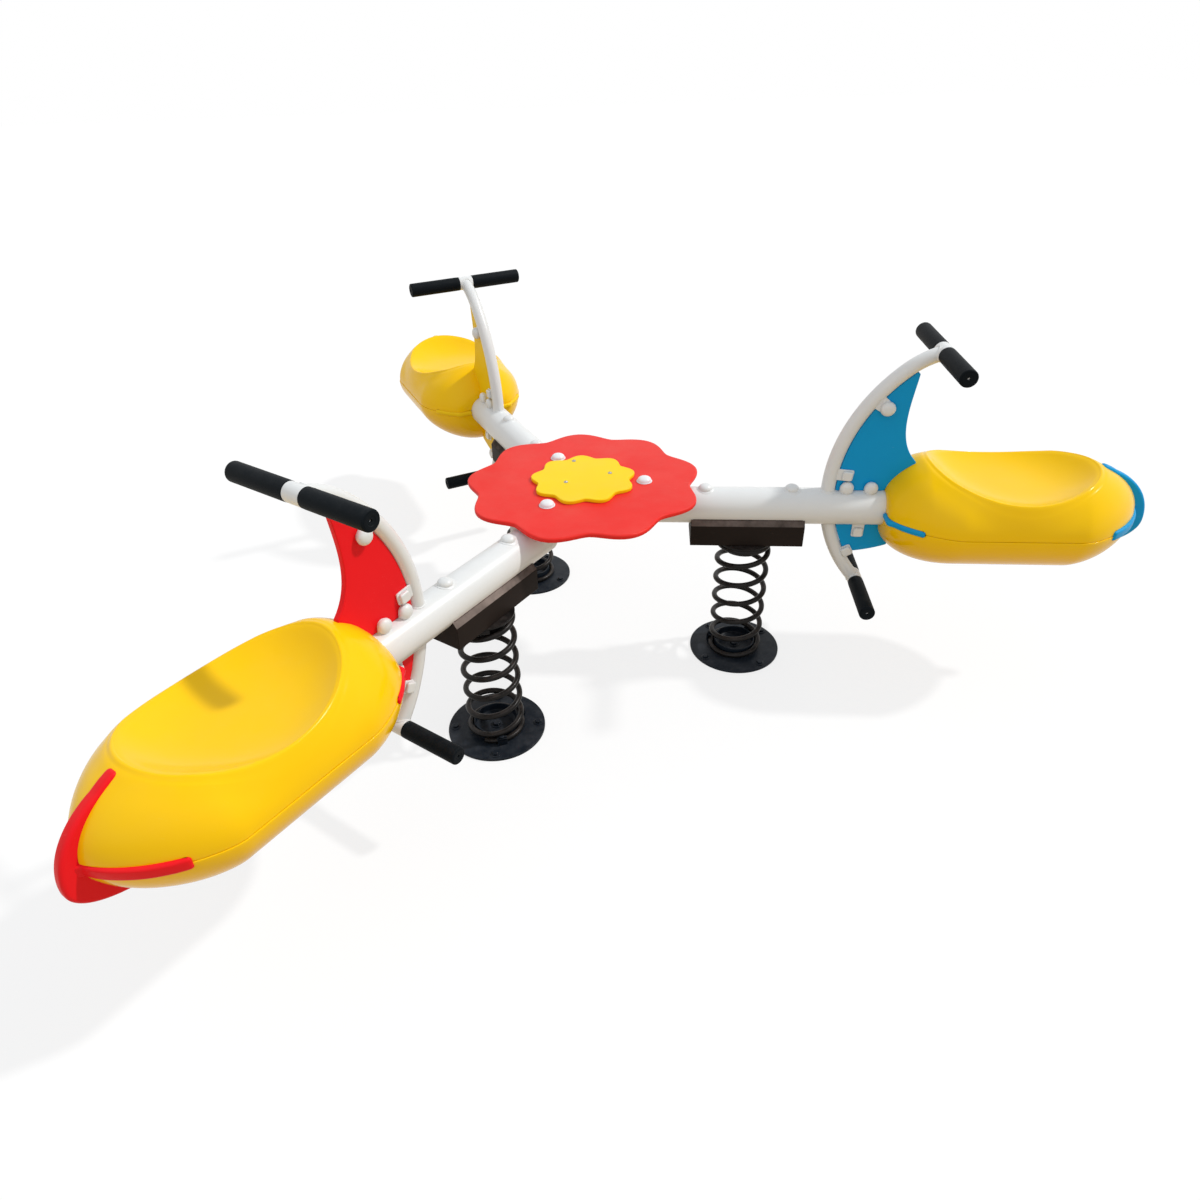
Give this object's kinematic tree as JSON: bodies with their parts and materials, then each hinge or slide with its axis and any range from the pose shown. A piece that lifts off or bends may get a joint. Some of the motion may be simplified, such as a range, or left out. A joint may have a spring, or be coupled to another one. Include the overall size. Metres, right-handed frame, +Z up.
{
  "type": "playground seesaw",
  "caption": "Star-shaped spring seesaw: tubular beams on coil springs meet under a scalloped hub, each with a moulded seat, side panels, handlebar and foot bar.",
  "frame": {"origin": "on the ground, in the middle of the seesaw's outline seen from above", "axes": "+X along the blue arm from the hub to its seat, +Z up, +Y level across; the yellow arm points 120 degrees round from +X and the red arm 240 degrees"},
  "size_m": [2.6226, 2.9514, 1.0634],
  "materials": {
    "white_paint": "smooth glossy off-white paint over steel tube",
    "black_steel": "satin black paint over steel",
    "grip_rubber": "matt black moulded grip",
    "seat_yellow": "smooth moulded plastic with a soft gloss",
    "panel_blue": "solid-colour plastic sheet, satin",
    "panel_yellow": "solid-colour plastic sheet, satin",
    "panel_red": "solid-colour plastic sheet, satin",
    "hub_red": "solid-colour plastic sheet, satin",
    "hub_yellow": "solid-colour plastic sheet, satin"
  },
  "bodies": {
    "footings": {"base_plate_blue": "black_steel", "base_plate_yellow": "black_steel", "base_plate_red": "black_steel"},
    "bounce_spring": {"spring_blue": "black_steel"},
    "sway_springs": {"spring_yellow": "black_steel", "spring_red": "black_steel"},
    "rocking_frame": {"hub_disc": "hub_red", "hub_centre_disc": "hub_yellow", "hub_plate": "white_paint", "beam_blue": "white_paint", "bow_blue": "white_paint", "handle_grip_left_blue": "grip_rubber", "handle_grip_right_blue": "grip_rubber", "foot_grip_left_blue": "grip_rubber", "foot_grip_right_blue": "grip_rubber", "panel_upper_blue": "panel_blue", "panel_lower_blue": "panel_blue", "seat_top_blue": "seat_yellow", "seat_bottom_blue": "seat_yellow", "seat_plate_blue": "panel_blue", "tail_fin_blue": "panel_blue", "saddle_blue": "black_steel", "spring_cup_blue": "black_steel", "hub_bolt_blue": "white_paint", "saddle_bolt_inner_blue": "white_paint", "saddle_bolt_outer_blue": "white_paint", "beam_yellow": "white_paint", "bow_yellow": "white_paint", "handle_grip_left_yellow": "grip_rubber", "handle_grip_right_yellow": "grip_rubber", "foot_grip_left_yellow": "grip_rubber", "foot_grip_right_yellow": "grip_rubber", "panel_upper_yellow": "panel_yellow", "panel_lower_yellow": "panel_yellow", "seat_top_yellow": "seat_yellow", "seat_bottom_yellow": "seat_yellow", "seat_plate_yellow": "panel_yellow", "tail_fin_yellow": "panel_yellow", "saddle_yellow": "black_steel", "spring_cup_yellow": "black_steel", "hub_bolt_yellow": "white_paint", "saddle_bolt_inner_yellow": "white_paint", "saddle_bolt_outer_yellow": "white_paint", "beam_red": "white_paint", "bow_red": "white_paint", "handle_grip_left_red": "grip_rubber", "handle_grip_right_red": "grip_rubber", "foot_grip_left_red": "grip_rubber", "foot_grip_right_red": "grip_rubber", "panel_upper_red": "panel_red", "panel_lower_red": "panel_red", "seat_top_red": "seat_yellow", "seat_bottom_red": "seat_yellow", "seat_plate_red": "panel_red", "tail_fin_red": "panel_red", "saddle_red": "black_steel", "spring_cup_red": "black_steel", "hub_bolt_red": "white_paint", "saddle_bolt_inner_red": "white_paint", "saddle_bolt_outer_red": "white_paint"}
  },
  "joints": [
    {"name": "bounce", "type": "slide", "parent": "footings", "child": "bounce_spring", "axis": [0, 0, 1], "range_m": [-0.03, 0.02], "stiffness_N_per_m": 146000, "springref_m": 0.0095, "deforming": ["spring_blue"]},
    {"name": "pitch", "type": "hinge", "parent": "bounce_spring", "child": "sway_springs", "pos_m": [-0.3873, 0, 0.44], "axis": [0, 1, 0], "range_deg": [-6, 6], "stiffness_Nm_per_rad": 26000, "deforming": ["spring_yellow", "spring_red"]},
    {"name": "roll", "type": "hinge", "parent": "sway_springs", "child": "rocking_frame", "pos_m": [-0.3873, 0, 0.44], "axis": [1, 0, 0], "range_deg": [-6, 6], "stiffness_Nm_per_rad": 26000}
  ]
}
